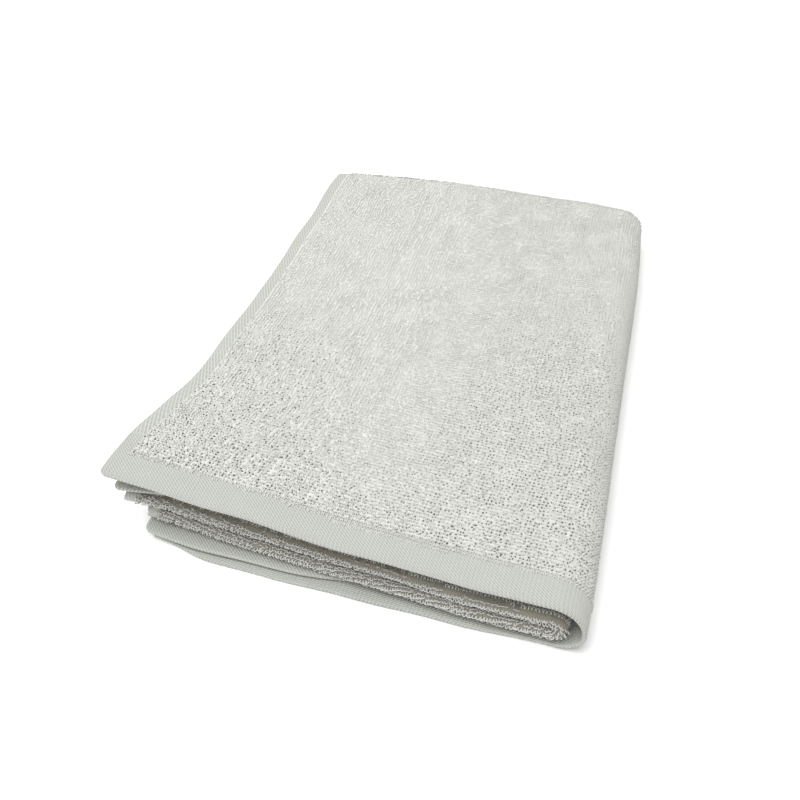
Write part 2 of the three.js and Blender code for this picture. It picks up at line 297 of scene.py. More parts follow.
class FoldedCloth:
    """The middle surface of the folded cloth as a grid, with its normals and half thicknesses."""

    def __init__(self):
        self.set_columns()
        self.set_rows()
        points = place(self.parts, self.shares, self.depth, self.inside)
        self.middle = self.round_corners(self.settle(points))
        self.find_normals()
        self.find_thickness()
        self.find_cloth_lengths()

    def set_columns(self):
        width = FRONT_PLACES[-1]
        stations = NEAR_SIDE_HEM + list(np.linspace(NEAR_SIDE_HEM[-1], width, COLUMNS_OF_HALF)[1:-1])
        flat = np.array(stations) / width
        bend = np.linspace(0, 1, COLUMNS_OF_BEND)
        self.parts = np.concatenate([np.zeros(len(flat)), np.ones(len(bend)), np.full(len(flat), 2)])
        self.shares = np.concatenate([flat, bend, flat[::-1]])
        from_side = np.concatenate([flat, np.ones(len(bend)), flat[::-1]])
        self.from_side = from_side * width

    def set_rows(self):
        self.depth, self.inside, self.from_end, self.run = [], [], [], []
        columns = (self.parts, self.shares)
        half = CLOTH_THICKNESS / 2
        back_end = FOLDED_DEPTH - OUTER_BEND - half

        def radius(y, layer):
            return np.linalg.norm(place(*columns, y, layer) - place(*columns, y, layer + 1), axis=-1) / 2

        def add_row(depth, inside, from_end, run):
            self.depth.append(np.broadcast_to(depth, self.parts.shape))
            self.inside.append(np.broadcast_to(inside, self.parts.shape))
            self.from_end.append(from_end)
            self.run.append(run)

        def add_run(name, inside, start, hem, backwards):
            near = NEAR_END_HEM if hem else NEAR_FOLD
            shares = np.linspace(0, 1, ROWS_OF_RUN)[1:]
            stops = [(start + near_by, near_by) for near_by in near]
            stops += [(lerp(start + near[-1], back_end, share), FAR_FROM_HEM) for share in shares]
            for depth, from_end in stops[::-1] if backwards else stops:
                add_row(depth, inside, from_end if hem else FAR_FROM_HEM, name)

        def add_bend(name, first, last, start, reach, steps):
            for i in range(1, steps):
                angle = np.pi * i / steps
                inside = lerp(first, last, (1 - np.cos(angle)) / 2)
                add_row(start + reach * np.sin(angle), inside, FAR_FROM_HEM, name)

        fold = front(*columns, "fold")
        fold_radius = radius(fold, 2)
        folded_edge = fold + fold_radius + half
        add_run("outer", 0, front(*columns, "outer hem"), hem=True, backwards=False)
        add_bend("back", 0, 3, back_end, OUTER_BEND, steps=16)
        add_run("fourth", 3, folded_edge, hem=False, backwards=True)
        add_bend("fold", 3, 2, folded_edge, -fold_radius, steps=12)
        add_run("third", 2, folded_edge, hem=False, backwards=False)
        add_bend("inner back", 2, 1, back_end, radius(back_end, 1), steps=8)
        add_run("inner", 1, front(*columns, "inner hem"), hem=True, backwards=True)
        self.depth, self.inside = np.array(self.depth), np.array(self.inside)
        self.from_end, self.run = np.array(self.from_end), np.array(self.run)

    def settle(self, points):
        """Lets the cloth lie a little unevenly: soft swells, and edges that aren't quite straight."""
        x, y, z = points[..., 0], points[..., 1], points[..., 2]
        # The swells grow with the height in the stack, and what an edge does fades away behind it.
        swell = 0.35 * drift(x, y, span=48, seed=11) + 0.12 * drift(x, y, span=21, seed=12)
        z_out = z + swell * z / 25
        side = np.exp(-self.from_side / 9)
        # Far enough apart in the field for each layer and part to have an edge of its own.
        layer = 60 * self.inside + 30 * self.parts
        x_out = x + side * (0.45 * drift(y, layer, span=44, seed=13))
        hem = np.exp(-np.minimum(self.from_end, 60) / 8)[:, None]
        y_out = y + hem * 0.3 * drift(x, layer, span=36, seed=14)
        outermost = (self.run == "outer")[:, None]
        upper = outermost * np.where(self.parts == 0, 1, np.where(self.parts == 1, 1 - self.shares, 0))
        pull = (1 - smoothstep(self.from_end, 20, 60))[:, None]
        y_out = y_out - upper * pull * through(HEM_PLACES, HEM_FORWARD, x)
        x_out = x_out - upper * np.exp(-self.from_side / 15) * through(SIDE_DEPTHS, SIDE_OUT, y)
        return np.stack([x_out, y_out, z_out], -1)

    def round_corners(self, points):
        """Draws the four corners of the cloth in, from square to round."""
        side = 1 - np.clip(self.from_side / CORNER_RADIUS, 0, 1)[None, :, None]
        end = 1 - np.clip(self.from_end / CORNER_RADIUS, 0, 1)[:, None, None]
        inward_s = np.gradient(points, axis=1)
        inward_s /= np.linalg.norm(inward_s, axis=-1, keepdims=True)
        inward_s[:, self.parts == 2] *= -1
        inward_t = np.gradient(points, axis=0)
        inward_t /= np.linalg.norm(inward_t, axis=-1, keepdims=True)
        inward_t[self.run == "inner"] *= -1
        points = points + inward_s * CORNER_RADIUS * side * (1 - np.sqrt(1 - end * end / 2))
        return points + inward_t * CORNER_RADIUS * end * (1 - np.sqrt(1 - side * side / 2))

    def find_normals(self):
        self.along_s = np.gradient(self.middle, axis=1)
        self.along_t = np.gradient(self.middle, axis=0)
        normals = np.cross(self.along_s, self.along_t)
        self.normals = normals / np.linalg.norm(normals, axis=-1, keepdims=True)

    def find_thickness(self):
        side = self.from_side[None, :]
        end = self.from_end[:, None]
        half = GROUND_HALF + MATTED * (1 - relief(self.middle))
        half = np.where(np.isin(self.run, ("outer", "back"))[:, None], half, INNER_HALF)
        half = np.where(side < SIDE_HEM_WIDTH, SIDE_HEM_HALF, half)
        half = np.where(end < END_HEM_WIDTH, END_HEM_HALF, half)
        corner = (1 - smoothstep(side, 2, SIDE_HEM_WIDTH + 1)) * (end < END_HEM_WIDTH)
        half = lerp(half, CORNER_HALF, corner)
        nearest = np.minimum(side, end)
        rounding = np.sqrt(1 - (1 - np.clip(nearest / HEM_ROUNDING, 0, 1)) ** 2)
        self.half = half * lerp(0.4, 1, rounding)
        self.is_hem = (end < END_TWILL_WIDTH) | (side < SIDE_TWILL_WIDTH)

    def find_cloth_lengths(self):
        """Where each point lies on the flat cloth, counted from its ends.

        The count changes over in the middle of the fourth layer, where nothing shows."""

        def lengths(axis):
            steps = np.linalg.norm(np.diff(self.middle, axis=axis), axis=-1)
            pad = [(0, 0), (0, 0)]
            pad[axis] = (1, 0)
            return np.cumsum(np.pad(steps, pad), axis=axis)

        s, t = lengths(1), lengths(0)
        turn = int(np.mean(np.nonzero(self.run == "fourth")[0]))
        t[turn:] = FLAT_LENGTH - (t[-1] - t[turn:])
        self.flat_place = np.stack([s, t], -1)


# Meshes


def new_piece(name, points, faces, uv, materials, material_of_face=None):
    """A mesh object from points in the tables' millimetres, and its quads and triangles.

    uv gives each corner its place on the flat cloth, or along its yarn, in millimetres."""
    mesh = bpy.data.meshes.new(name)
    corners = np.concatenate([np.ravel(group) for group in faces])
    sizes = np.concatenate([np.full(len(group), group.shape[1]) for group in faces])
    mesh.vertices.add(len(points))
    mesh.vertices.foreach_set("co", np.ravel((points - ORIGIN) * MM))
    mesh.loops.add(len(corners))
    mesh.loops.foreach_set("vertex_index", corners.astype(np.int32))
    mesh.polygons.add(len(sizes))
    mesh.polygons.foreach_set("loop_start", (np.cumsum(sizes) - sizes).astype(np.int32))
    if material_of_face is not None:
        mesh.polygons.foreach_set("material_index", material_of_face.astype(np.int32))
    layer = mesh.uv_layers.new(name="ClothPlace")
    layer.data.foreach_set("uv", np.ravel(uv).astype(np.float32))
    mesh.update(calc_edges=True)
    mesh.validate()
    mesh.shade_smooth()
    for material in materials:
        mesh.materials.append(material)
    piece = bpy.data.objects.new(name, mesh)
    bpy.context.collection.objects.link(piece)
    return piece


def ground_mesh(cloth, pitch, materials):
    """The woven cloth: both faces of the grid and the rim that joins them."""
    rows, columns = cloth.half.shape
    offset = cloth.normals * cloth.half[..., None]
    points = np.concatenate([(cloth.middle + offset).reshape(-1, 3), (cloth.middle - offset).reshape(-1, 3)])
    points[:, 2] = np.maximum(points[:, 2], FLOOR_GAP)
    index = np.arange(rows * columns).reshape(rows, columns)
    under = index + rows * columns
    a, b, c, d = index[:-1, :-1], index[:-1, 1:], index[1:, 1:], index[1:, :-1]
    upper_faces = np.stack([a, b, c, d], -1).reshape(-1, 4)
    lower_faces = upper_faces[:, ::-1] + rows * columns

    def rim(line, other):
        return np.stack([line[:-1], other[:-1], other[1:], line[1:]], -1)

    rims = [
        (END_HEM, rim(index[0], under[0])),
        (SIDE_HEM, rim(index[:, -1], under[:, -1])),
        (END_HEM, rim(index[-1][::-1], under[-1][::-1])),
        (SIDE_HEM, rim(index[::-1, 0], under[::-1, 0])),
    ]
    faces = np.concatenate([upper_faces, lower_faces] + [rim_faces for _, rim_faces in rims])
    flat = np.concatenate([cloth.flat_place.reshape(-1, 2)] * 2)
    hem = cloth.is_hem
    hem_face = (hem[:-1, :-1] & hem[1:, 1:]).reshape(-1)
    end_face = np.broadcast_to((cloth.from_end < END_TWILL_WIDTH)[:, None], hem.shape)[:-1, :-1].reshape(-1)
    hem_kind = np.where(end_face, END_HEM, SIDE_HEM)
    outer_row = np.isin(cloth.run, ("outer", "back"))
    outer_face = np.broadcast_to(outer_row[:-1, None], (rows - 1, columns - 1)).reshape(-1)
    # Inner faces, and every lower face but the hems, get the weave in painted shade.
    upper_kind = np.where(hem_face, hem_kind, np.where(outer_face, OUTER_WEAVE, INNER_WEAVE_PAINTED_SHADE))
    lower_kind = np.where(hem_face, hem_kind, INNER_WEAVE_PAINTED_SHADE)
    rim_kinds = [np.full(len(rim_faces), kind) for kind, rim_faces in rims]
    kinds = np.concatenate([upper_kind, lower_kind] + rim_kinds)
    piece = new_piece("towel_ground", points, [faces], flat[faces].reshape(-1, 2), materials, kinds)
    x, y = cloth.middle[..., 0], cloth.middle[..., 1]
    yaw = mean_yaw(x, y)
    # The hole map puts each loop's painted hole shade a little way from its root, where one looks down
    # through the loop.
    holes = cloth.flat_place - HOLE_AWAY * np.stack([-np.sin(yaw), np.cos(yaw)], -1)
    holes = np.concatenate([holes.reshape(-1, 2)] * 2) / pitch
    layer = piece.data.uv_layers.new(name="HolePlace")
    layer.data.foreach_set("uv", np.ravel(holes[faces]).astype(np.float32))
    # These attributes tell the ground's shader how deep to paint the shade in the loops' holes, and where it
    # lies in streaks.
    for name, values in (("pile_relief", relief(cloth.middle)), ("pile_streaks", towards_left(x))):
        attribute = piece.data.attributes.new(name, "FLOAT", "POINT")
        attribute.data.foreach_set("value", np.concatenate([values.ravel()] * 2).astype(np.float32))
    return piece


def loop_roots(cloth, rows, columns, face, pitch, seed):
    """Where the pile loops of a stretch of cloth stand: their points, frames and places on the cloth.

    They stand in rows and columns on the flat cloth, which are found again on the folded grid."""
    random = np.random.default_rng(seed)
    flat = cloth.flat_place[rows, columns]
    if columns.start > 0 and columns.stop == len(cloth.parts):
        # The lower half is counted from its own side hem, from which the rows run straight.
        flat = flat - flat[:, -1:] * [1, 0]
    last_row, last_column = flat.shape[0] - 1, flat.shape[1] - 1
    lines = []
    for places in (flat[..., 0], flat[..., 1]):
        lines.append((np.arange(places.min() // pitch, places.max() // pitch + 1) + 0.5) * pitch)
    s, t = (np.ravel(grid) for grid in np.meshgrid(*lines))
    stray = lerp(*STRAY, towards_left(s))
    s = s + random.normal(0, 1, s.shape) * stray
    t = t + random.normal(0, 1, t.shape) * stray
    column = np.interp(s, flat[last_row // 2, :, 0], np.arange(last_column + 1))
    row = np.interp(t, flat[:, last_column // 2, 1], np.arange(last_row + 1))

    def cell(row, column):
        return np.clip(row.astype(int), 0, last_row - 1), np.clip(column.astype(int), 0, last_column - 1)

    def blend(grid, row, column):
        if grid.ndim == 2:
            grid = grid[..., None]
        r, c = cell(row, column)
        row_share, column_share = (row - r)[:, None], (column - c)[:, None]
        upper = lerp(grid[r, c], grid[r, c + 1], column_share)
        return lerp(upper, lerp(grid[r + 1, c], grid[r + 1, c + 1], column_share), row_share)

    for _ in range(SEARCH_STEPS):
        here = blend(flat, row, column)
        r, c = cell(row, column)
        column_step = (s - here[:, 0]) / (flat[r, c + 1, 0] - flat[r, c, 0])
        row_step = (t - here[:, 1]) / (flat[r + 1, c, 1] - flat[r, c, 1])
        column = column + np.clip(column_step, -STRIDE, STRIDE)
        row = row + np.clip(row_step, -STRIDE, STRIDE)
        column = np.clip(column, -PAST_EDGE, last_column + PAST_EDGE)
        row = np.clip(row, -PAST_EDGE, last_row + PAST_EDGE)
    found = (column >= 0) & (column < last_column) & (row >= 0) & (row < last_row)
    row, column = row[found], column[found]

    def at_roots(grid):
        return blend(grid[rows, columns], row, column)

    def unit(vectors):
        return vectors / np.linalg.norm(vectors, axis=-1, keepdims=True)

    normal = unit(at_roots(cloth.normals))
    warp = unit(at_roots(cloth.along_t))
    warp = unit(warp - normal * np.sum(warp * normal, -1, keepdims=True))
    weft = np.cross(warp, normal)
    side = at_roots(np.broadcast_to(cloth.from_side, cloth.half.shape))[:, 0]
    end = at_roots(np.broadcast_to(cloth.from_end[:, None], cloth.half.shape))[:, 0]
    normal = normal * face
    return {
        "point": at_roots(cloth.middle) + normal * (at_roots(cloth.half) - ROOT_DEPTH),
        "normal": normal,
        "warp": warp,
        "weft": weft,
        "side": side,
        "end": end,
        "flat": at_roots(cloth.flat_place),
        "random": random,
    }


def keep(roots, mask):
    return {name: value[mask] if isinstance(value, np.ndarray) else value for name, value in roots.items()}


def loop_points(roots, yaw, lean, fall, width, height, yarn, steps):
    """The corners of one tube for each loop.

    yaw turns a loop's plane from across the cloth to along it. lean lets the loop fall over towards its own
    side, and fall lets it do so along its plane."""
    turns = np.radians(np.linspace(LOOP_START, LOOP_END, steps))
    cos_yaw, sin_yaw = np.cos(yaw)[:, None], np.sin(yaw)[:, None]
    plane = roots["weft"] * cos_yaw + roots["warp"] * sin_yaw
    away = roots["warp"] * cos_yaw - roots["weft"] * sin_yaw
    up = roots["normal"] * np.cos(lean)[:, None] + away * np.sin(lean)[:, None]
    up = up * np.cos(fall)[:, None] + plane * np.sin(fall)[:, None]
    plane = plane - up * np.sum(plane * up, -1, keepdims=True)
    plane /= np.linalg.norm(plane, axis=-1, keepdims=True)
    axis = np.cross(plane, up)
    wide, high = (width / 2)[:, None, None], (height / 2)[:, None, None]
    cos_t, sin_t = np.cos(turns)[None, :, None], np.sin(turns)[None, :, None]
    path = roots["point"][:, None] + wide * cos_t * plane[:, None]
    path = path + high * (sin_t - math.sin(math.radians(LOOP_START))) * up[:, None]
    tangent = -wide * sin_t * plane[:, None] + high * cos_t * up[:, None]
    tangent /= np.linalg.norm(tangent, axis=-1, keepdims=True)
    outward = np.cross(tangent, np.broadcast_to(axis[:, None], tangent.shape))
    sides = np.radians(np.arange(TUBE_SIDES) * 360 / TUBE_SIDES)
    radius = (yarn / 2)[:, None, None, None]
    ring = np.cos(sides)[None, None, :, None] * outward[:, 1:-1, None]
    ring = ring + np.sin(sides)[None, None, :, None] * axis[:, None, None]
    rings = path[:, 1:-1, None] + radius * ring
    count = len(path)
    return np.concatenate([path[:, :1], rings.reshape(count, -1, 3), path[:, -1:]], 1)


def pile_mesh(name, points, steps, material):
    """Joins the loops' tubes into one piece."""
    count, per_loop = points.shape[:2]
    points = points.reshape(-1, 3)
    points[:, 2] = np.maximum(points[:, 2], FLOOR_GAP)
    rings = steps - 2
    ring, side = np.meshgrid(np.arange(rings - 1), np.arange(TUBE_SIDES), indexing="ij")
    ring, side = ring.ravel(), side.ravel()
    next_side = (side + 1) % TUBE_SIDES
    here = 1 + TUBE_SIDES * ring
    ahead = here + TUBE_SIDES
    quads = np.stack([here + side, here + next_side, ahead + next_side, ahead + side], -1)
    around = np.arange(TUBE_SIDES)
    following = (around + 1) % TUBE_SIDES
    first = np.stack([np.zeros(TUBE_SIDES, int), 1 + following, 1 + around], -1)
    end = 1 + TUBE_SIDES * (rings - 1)
    last = np.stack([np.full(TUBE_SIDES, end + TUBE_SIDES), end + around, end + following], -1)
    triangles = np.concatenate([first, last])
    start = (np.arange(count) * per_loop)[:, None, None]
    faces = [(quads[None] + start).reshape(-1, 4), (triangles[None] + start).reshape(-1, 3)]
    quad_u = np.stack([ring + 1, ring + 1, ring + 2, ring + 2], -1) * LOOP_YARN / (steps - 1)
    quad_v = np.stack([side, side + 1, side + 1, side], -1) * YARN_SIDE
    ends = [[0, 1, 1]] * TUBE_SIDES + [[steps - 1, steps - 2, steps - 2]] * TUBE_SIDES
    triangle_u = np.array(ends) * LOOP_YARN / (steps - 1)
    first_v = np.stack([around + 0.5, around + 1, around], -1)
    last_v = np.stack([around + 0.5, around, around + 1], -1)
    triangle_v = np.concatenate([first_v, last_v]) * YARN_SIDE
    uv = np.concatenate([
        np.tile(np.stack([quad_u, quad_v], -1).reshape(-1, 2), (count, 1)),
        np.tile(np.stack([triangle_u, triangle_v], -1).reshape(-1, 2), (count, 1)),
    ])
    return new_piece(name, points, faces, uv, [material])


# The pile


def pile_patches(cloth, pitch):
    """The stretches of pile: their names, the roots of their loops and how many points a loop's path has."""
    part, run = cloth.parts, cloth.run
    every = np.arange(len(part))
    top = slice(0, int(every[part == 1][0]) + 1)
    bend = slice(int(every[part == 1][0]), int(every[part == 1][-1]) + 1)
    low = slice(int(every[part == 1][-1]), len(part))
    all_columns = slice(0, len(part))

    def run_rows(name, extra=0):
        found = np.nonzero(run == name)[0]
        return slice(int(found[0]) - extra, int(found[-1]) + 1 + extra)

    outer = run_rows("outer")
    inner = run_rows("inner")
    back = run_rows("back", 1)
    under_outer = slice(outer.start + LOOPED_ROWS[0], outer.start + LOOPED_ROWS[1])
    by_inner = slice(inner.stop - LOOPED_ROWS[1], inner.stop - LOOPED_ROWS[0])

    def stretch(rows, columns, seed, face=1, spacing=1, opened=0):
        roots = loop_roots(cloth, rows, columns, face, pitch * spacing, seed)
        start = np.interp(roots["flat"][:, 0], PILE_START_PLACES, PILE_START)
        roots = keep(roots, (roots["side"] > SIDE_PILE_START) & (roots["end"] > start))
        roots["spacing"] = spacing
        roots["opened"] = opened
        return roots

    names = ("front", "middle", "back")
    cuts = np.linspace(outer.start, outer.stop - 1, len(names) + 1).astype(int)
    for i, name in enumerate(names):
        yield f"pile_top_{name}", stretch(slice(cuts[i], cuts[i + 1] + 1), top, seed=21 + i), 6
    yield "pile_right", stretch(outer, bend, seed=24), 6
    yield "pile_back", stretch(back, slice(0, bend.stop), seed=25), 6
    yield "pile_back_low", stretch(back, low, seed=31), 6
    front_fold = stretch(run_rows("fold", 3), all_columns, seed=26, spacing=0.88, opened=1)
    yield "pile_front_fold", front_fold, 7
    # The name, rows, seed and face of each stretch on the inner sides of the hems.
    by_hems = (
        ("pile_under_outer_hem", under_outer, 27, -1),
        ("pile_under_inner_hem", by_inner, 28, 1),
        ("pile_over_inner_hem", by_inner, 29, -1),
    )
    for name, rows, seed, face in by_hems:
        yield name, stretch(rows, all_columns, seed, face, spacing=1.05, opened=1), 5
    yield "pile_underside", stretch(outer, low, seed=30, spacing=1.6), 4


def mean_yaw(x, y):
    """How far the loops are turned, on average, from across the cloth to along it."""
    return -np.radians(lerp(35, 72, smoothstep(y, 35, 70))) * towards_left(x)


def lay_of_pile(roots):
    """How the loops lie: along the cloth on the left, facing the front on the right, in soft swirls."""
    x, y = roots["point"][:, 0], roots["point"][:, 1]
    random = roots["random"]
    count = len(x)
    left = towards_left(x)
    swirls = (0.1 + 0.35 * left) * drift(x, y / 3, span=6, seed=31)
    yaw = mean_yaw(x, y) + swirls + random.normal(0, 1, count) * (0.06 + 0.2 * left)
    lean = 1.15 + 0.06 * drift(x, y, span=14, seed=32) + random.normal(0, 0.06, count)
    # On the front and back folds they stand out further, and hang down a little.
    on_fold = np.abs(roots["normal"][:, 1]) > 0.3
    lean = np.where(on_fold, -0.7 * np.tanh(3 * roots["warp"][:, 2]), lean)
    fall = 0.06 * drift(x, y, span=12, seed=33) + random.normal(0, 0.07, count)
    return yaw, lean, fall


def loop_sizes(roots, settings):
    """The width, height and thickness of yarn of each loop, in millimetres."""
    count = len(roots["point"])
    random, spacing, opened = roots["random"], roots["spacing"], roots["opened"]
    width = settings.loop_width / MM * random.uniform(0.93, 1.07, count) * spacing
    height = settings.loop_height / MM * random.uniform(0.9, 1.1, count) * spacing
    yarn = settings.yarn / MM * random.uniform(0.93, 1.07, count) * spacing
    yarn = yarn * lerp(PRESSED_YARN, 1, relief(roots["point"]))
    return (
        width * lerp(1, OPEN_RING["width"], opened),
        height * lerp(1, OPEN_RING["height"], opened),
        yarn * lerp(1, OPEN_RING["yarn"], opened),
    )


# Materials

# How much of the cotton's colour is left where shade is painted into it: in the furrows of a twill, in the
# hole of a loop where one looks down through it and, as red, green and blue, on the inner weave, painted
# darker and warmer for the shade between the layers.
FURROW_PAINTED_SHADE = 0.72
HOLE_PAINTED_SHADE = 0.1
INNER_PAINTED_SHADE = (0.44, 0.41, 0.36)


def linear(colour):
    """An sRGB hex colour as linear red, green and blue."""
    parts = [int(colour[i : i + 2], 16) / 255 for i in (1, 3, 5)]
    return [c / 12.92 if c <= 0.04045 else ((c + 0.055) / 1.055) ** 2.4 for c in parts]


def add(tree, kind, inputs=None, **settings):
    """A node of that kind, with its settings, and each input a value or another node's output."""
    node = tree.nodes.new(kind)
    for name, value in settings.items():
        setattr(node, name, value)
    for name, value in (inputs or {}).items():
        if isinstance(value, bpy.types.NodeSocket):
            tree.links.new(value, node.inputs[name])
        else:
            node.inputs[name].default_value = value
    return node


def new_material(name):
    material = bpy.data.materials.new(name)
    material.use_nodes = True
    material.node_tree.nodes.clear()
    return material, material.node_tree


def pile_yarn(colour):
    """Bleached ring-spun cotton, twisted and left as loops: matt, soft at its edges with loose fibres, and a
    little uneven in tone from loop to loop."""
    material, tree = new_material("bleached_cotton_pile_yarn")
    where = add(tree, "ShaderNodeTexCoord")
    # Noise is scaled in grains to the metre: the tone changes every 2.4 mm, which is nearly two loops, and in
    # patches of 22 mm.
    tone = add(tree, "ShaderNodeTexNoise", {"Vector": where.outputs["Object"], "Scale": 420.0, "Detail": 1.0})
    patch = add(tree, "ShaderNodeTexNoise", {"Vector": where.outputs["Object"], "Scale": 45.0, "Detail": 2.0})
    both = add(tree, "ShaderNodeMath", {0: tone.outputs["Fac"], 1: patch.outputs["Fac"]}, operation="ADD")
    shade = add(tree, "ShaderNodeValToRGB", {"Fac": both.outputs[0]})
    shade.color_ramp.elements[0].position = 0.75
    shade.color_ramp.elements[1].position = 1.2
    shade.color_ramp.elements[0].color = [c * 0.93 for c in colour] + [1]
    shade.color_ramp.elements[1].color = [min(c * 1.03, 0.93) for c in colour] + [1]
    along = add(tree, "ShaderNodeUVMap", uv_map="ClothPlace")
    # The yarn's twist: its plies go round it and along it at once.
    twist = add(
        tree, "ShaderNodeVectorMath",
        {0: along.outputs["UV"], 1: (2 * math.pi / PLY_LENGTH, 2 * math.pi / YARN_SIDE, 0)},
        operation="DOT_PRODUCT",
    )
    plies = add(tree, "ShaderNodeMath", {0: twist.outputs["Value"]}, operation="SINE")
    # Fibres are drawn 0.17 mm wide, coarser than real ones, so that they show.
    fibres = add(
        tree, "ShaderNodeTexNoise", {"Vector": where.outputs["Object"], "Scale": 6000.0, "Detail": 2.0},
    )
    rough = add(
        tree, "ShaderNodeMath",
        {0: plies.outputs[0], 1: 0.6, 2: fibres.outputs["Fac"]}, operation="MULTIPLY_ADD",
    )
    bump = add(tree, "ShaderNodeBump", {"Height": rough.outputs[0], "Strength": 0.5, "Distance": 0.00005})
    shader = add(
        tree, "ShaderNodeBsdfPrincipled",
        {
            "Base Color": shade.outputs["Color"], "Roughness": 0.92, "IOR": 1.53,
            "Sheen Weight": 0.35, "Sheen Roughness": 0.6, "Normal": bump.outputs["Normal"],
        },
    )
    add(tree, "ShaderNodeOutputMaterial", {"Surface": shader.outputs["BSDF"]})
    return material


def twill(colour, name, period, slope):
    """Bleached cotton woven in twill, turned over and pressed flat as a hem: fine slanting ribs, with painted
    shade in the furrows between them.

    period is from one rib to the next, in millimetres, and slope is the ribs' slant in degrees."""
    material, tree = new_material(name)
    where = add(tree, "ShaderNodeTexCoord")
    cloth = add(tree, "ShaderNodeUVMap", uv_map="ClothPlace")
    angle = math.radians(slope)
    pace = 2 * math.pi / period
    across_ribs = add(
        tree, "ShaderNodeVectorMath",
        {0: cloth.outputs["UV"], 1: (math.sin(angle) * pace, math.cos(angle) * pace, 0)},
        operation="DOT_PRODUCT",
    )
    ribs = add(tree, "ShaderNodeMath", {0: across_ribs.outputs["Value"]}, operation="SINE")
    along_warp = add(
        tree, "ShaderNodeVectorMath",
        {0: cloth.outputs["UV"], 1: (2 * math.pi / WARP_PITCH, 0, 0)},
        operation="DOT_PRODUCT",
    )
    floats = add(tree, "ShaderNodeMath", {0: along_warp.outputs["Value"]}, operation="SINE")
    height = add(
        tree, "ShaderNodeMath",
        {0: floats.outputs[0], 1: 0.4, 2: ribs.outputs[0]}, operation="MULTIPLY_ADD",
    )
    shade = add(tree, "ShaderNodeMapRange", {"Value": height.outputs[0], "From Min": -1.2, "From Max": 1.2})
    # Inputs 6 and 7 are the colours: the furrows between the ribs, darker with painted shade, and the ribs.
    furrows = [c * FURROW_PAINTED_SHADE for c in colour] + [1]
    mix = add(
        tree, "ShaderNodeMix",
        {"Factor": shade.outputs[0], 6: furrows, 7: list(colour) + [1]}, data_type="RGBA",
    )
    # Pressing leaves it a little cloudy, every 6 mm.
    uneven = add(
        tree, "ShaderNodeTexNoise", {"Vector": where.outputs["Object"], "Scale": 160.0, "Detail": 3.0},
    )
    lift = add(tree, "ShaderNodeMapRange", {"Value": uneven.outputs["Fac"], "To Min": -0.02, "To Max": 0.02})
    cloudy = add(
        tree, "ShaderNodeBrightContrast", {"Color": mix.outputs[2], "Bright": lift.outputs[0]},
    )
    bump = add(tree, "ShaderNodeBump", {"Height": height.outputs[0], "Strength": 0.8, "Distance": 0.00016})
    shader = add(
        tree, "ShaderNodeBsdfPrincipled",
        {
            "Base Color": cloudy.outputs["Color"], "Roughness": 0.88, "IOR": 1.53,
            "Sheen Weight": 0.25, "Sheen Roughness": 0.5, "Normal": bump.outputs["Normal"],
        },
    )
    add(tree, "ShaderNodeOutputMaterial", {"Surface": shader.outputs["BSDF"]})
    return material


